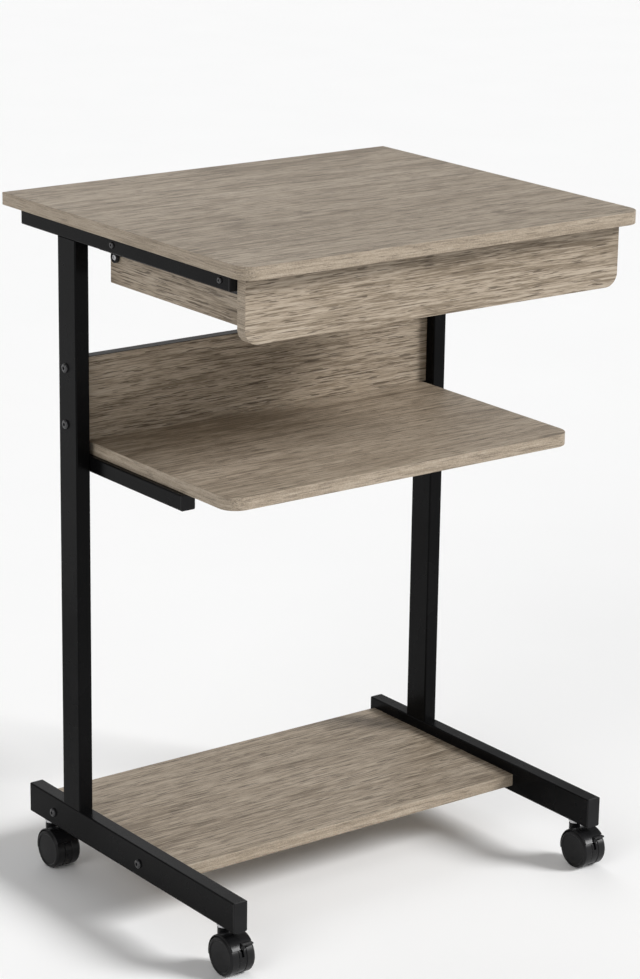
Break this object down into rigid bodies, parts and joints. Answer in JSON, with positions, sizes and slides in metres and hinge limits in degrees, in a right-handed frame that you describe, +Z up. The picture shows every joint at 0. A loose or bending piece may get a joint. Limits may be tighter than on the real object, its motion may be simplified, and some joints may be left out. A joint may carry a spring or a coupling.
{
  "type": "mobile printer stand",
  "caption": "Rolling printer stand with an open steel frame, a tabletop over a shallow drawer, a middle shelf with a back panel and a bottom shelf, on twin-wheel casters with brakes.",
  "frame": {"origin": "on the floor, under the middle of the tabletop", "axes": "+Z up, the drawer opens towards -Y, +X to the right when the stand is seen from the front"},
  "size_m": [0.6, 0.522, 0.88],
  "materials": {
    "oak_board": "rustic oak melamine on particle board, satin",
    "drawer_board": "rustic oak melamine on particle board, satin",
    "drawer_floor": "thin laminated hardboard",
    "beech": "fluted beech",
    "black_steel": "satin black powder coat",
    "slide_steel": "black coated sheet steel",
    "cap_plastic": "moulded, fine texture",
    "caster_plastic": "moulded nylon, satin",
    "wheel_plastic": "moulded nylon, satin",
    "black_nylon": "moulded nylon",
    "zinc_steel": "zinc plated",
    "black_screw": "black oxide"
  },
  "bodies": {
    "frame": {"tabletop": "oak_board", "middle_shelf": "oak_board", "back_panel": "oak_board", "bottom_shelf": "oak_board", "left_top_rail": "black_steel", "left_post": "black_steel", "left_foot": "black_steel", "left_shelf_bracket": "black_steel", "right_top_rail": "black_steel", "right_post": "black_steel", "right_foot": "black_steel", "right_shelf_bracket": "black_steel", "rail_end_caps": "cap_plastic", "foot_end_caps": "cap_plastic", "bracket_end_caps": "cap_plastic", "tabletop_screws": "black_screw", "slide_screws": "black_screw", "panel_screws": "black_screw", "bottom_shelf_screws": "black_screw", "middle_shelf_screws": "black_screw", "left_slide_channel": "slide_steel", "right_slide_channel": "slide_steel", "slide_roller_pins": "zinc_steel", "caster_stems": "zinc_steel", "caster_nuts": "zinc_steel"},
    "drawer": {"drawer_front": "oak_board", "drawer_left_side": "drawer_board", "drawer_right_side": "drawer_board", "drawer_back": "drawer_board", "drawer_bottom": "drawer_floor", "drawer_dowels": "beech", "left_runner": "slide_steel", "right_runner": "slide_steel", "runner_glides": "black_nylon", "runner_screws": "zinc_steel", "roller_screws": "zinc_steel"},
    "left_slide_roller": {"left_slide_roller": "black_nylon"},
    "left_drawer_roller": {"left_drawer_roller": "black_nylon"},
    "right_slide_roller": {"right_slide_roller": "black_nylon"},
    "right_drawer_roller": {"right_drawer_roller": "black_nylon"},
    "front_left_caster": {"front_left_caster_housing": "caster_plastic", "front_left_caster_axle": "zinc_steel", "front_left_brake_pin": "zinc_steel"},
    "front_left_outer_wheel": {"front_left_outer_wheel": "wheel_plastic"},
    "front_left_inner_wheel": {"front_left_inner_wheel": "wheel_plastic"},
    "front_left_brake_lever": {"front_left_brake_lever": "caster_plastic"},
    "front_right_caster": {"front_right_caster_housing": "caster_plastic", "front_right_caster_axle": "zinc_steel", "front_right_brake_pin": "zinc_steel"},
    "front_right_outer_wheel": {"front_right_outer_wheel": "wheel_plastic"},
    "front_right_inner_wheel": {"front_right_inner_wheel": "wheel_plastic"},
    "front_right_brake_lever": {"front_right_brake_lever": "caster_plastic"},
    "rear_left_caster": {"rear_left_caster_housing": "caster_plastic", "rear_left_caster_axle": "zinc_steel"},
    "rear_left_outer_wheel": {"rear_left_outer_wheel": "wheel_plastic"},
    "rear_left_inner_wheel": {"rear_left_inner_wheel": "wheel_plastic"},
    "rear_right_caster": {"rear_right_caster_housing": "caster_plastic", "rear_right_caster_axle": "zinc_steel"},
    "rear_right_outer_wheel": {"rear_right_outer_wheel": "wheel_plastic"},
    "rear_right_inner_wheel": {"rear_right_inner_wheel": "wheel_plastic"}
  },
  "joints": [
    {"name": "drawer_slide", "type": "slide", "parent": "frame", "child": "drawer", "axis": [0, -1, 0], "range_m": [0, 0.22]},
    {"name": "left_slide_roller_spin", "type": "hinge", "parent": "frame", "child": "left_slide_roller", "pos_m": [-0.267, -0.2, 0.8448], "axis": [1, 0, 0], "continuous": true},
    {"name": "left_drawer_roller_spin", "type": "hinge", "parent": "drawer", "child": "left_drawer_roller", "pos_m": [-0.26225, 0.0625, 0.829], "axis": [1, 0, 0], "continuous": true},
    {"name": "right_slide_roller_spin", "type": "hinge", "parent": "frame", "child": "right_slide_roller", "pos_m": [0.267, -0.2, 0.8448], "axis": [1, 0, 0], "continuous": true},
    {"name": "right_drawer_roller_spin", "type": "hinge", "parent": "drawer", "child": "right_drawer_roller", "pos_m": [0.26225, 0.0625, 0.829], "axis": [1, 0, 0], "continuous": true},
    {"name": "front_left_swivel", "type": "hinge", "parent": "frame", "child": "front_left_caster", "pos_m": [-0.282, -0.201, 0.045], "axis": [0, 0, 1], "continuous": true},
    {"name": "front_left_outer_wheel_spin", "type": "hinge", "parent": "front_left_caster", "child": "front_left_outer_wheel", "pos_m": [-0.294, -0.219, 0.025], "axis": [1, 0, 0], "continuous": true},
    {"name": "front_left_inner_wheel_spin", "type": "hinge", "parent": "front_left_caster", "child": "front_left_inner_wheel", "pos_m": [-0.27, -0.219, 0.025], "axis": [1, 0, 0], "continuous": true},
    {"name": "front_left_brake", "type": "hinge", "parent": "front_left_caster", "child": "front_left_brake_lever", "pos_m": [-0.282, -0.233, 0.039], "axis": [1, 0, 0], "range_deg": [0, 14]},
    {"name": "front_right_swivel", "type": "hinge", "parent": "frame", "child": "front_right_caster", "pos_m": [0.282, -0.201, 0.045], "axis": [0, 0, 1], "continuous": true},
    {"name": "front_right_outer_wheel_spin", "type": "hinge", "parent": "front_right_caster", "child": "front_right_outer_wheel", "pos_m": [0.294, -0.219, 0.025], "axis": [1, 0, 0], "continuous": true},
    {"name": "front_right_inner_wheel_spin", "type": "hinge", "parent": "front_right_caster", "child": "front_right_inner_wheel", "pos_m": [0.27, -0.219, 0.025], "axis": [1, 0, 0], "continuous": true},
    {"name": "front_right_brake", "type": "hinge", "parent": "front_right_caster", "child": "front_right_brake_lever", "pos_m": [0.282, -0.233, 0.039], "axis": [1, 0, 0], "range_deg": [0, 14]},
    {"name": "rear_left_swivel", "type": "hinge", "parent": "frame", "child": "rear_left_caster", "pos_m": [-0.282, 0.192, 0.045], "axis": [0, 0, 1], "continuous": true},
    {"name": "rear_left_outer_wheel_spin", "type": "hinge", "parent": "rear_left_caster", "child": "rear_left_outer_wheel", "pos_m": [-0.294, 0.174, 0.025], "axis": [1, 0, 0], "continuous": true},
    {"name": "rear_left_inner_wheel_spin", "type": "hinge", "parent": "rear_left_caster", "child": "rear_left_inner_wheel", "pos_m": [-0.27, 0.174, 0.025], "axis": [1, 0, 0], "continuous": true},
    {"name": "rear_right_swivel", "type": "hinge", "parent": "frame", "child": "rear_right_caster", "pos_m": [0.282, 0.192, 0.045], "axis": [0, 0, 1], "continuous": true},
    {"name": "rear_right_outer_wheel_spin", "type": "hinge", "parent": "rear_right_caster", "child": "rear_right_outer_wheel", "pos_m": [0.294, 0.174, 0.025], "axis": [1, 0, 0], "continuous": true},
    {"name": "rear_right_inner_wheel_spin", "type": "hinge", "parent": "rear_right_caster", "child": "rear_right_inner_wheel", "pos_m": [0.27, 0.174, 0.025], "axis": [1, 0, 0], "continuous": true}
  ],
  "couplings": [
    {"joint": "left_slide_roller_spin", "follows": "drawer_slide", "rad_per_m": 142.86},
    {"joint": "left_drawer_roller_spin", "follows": "drawer_slide", "rad_per_m": -142.86},
    {"joint": "right_slide_roller_spin", "follows": "drawer_slide", "rad_per_m": 142.86},
    {"joint": "right_drawer_roller_spin", "follows": "drawer_slide", "rad_per_m": -142.86}
  ]
}
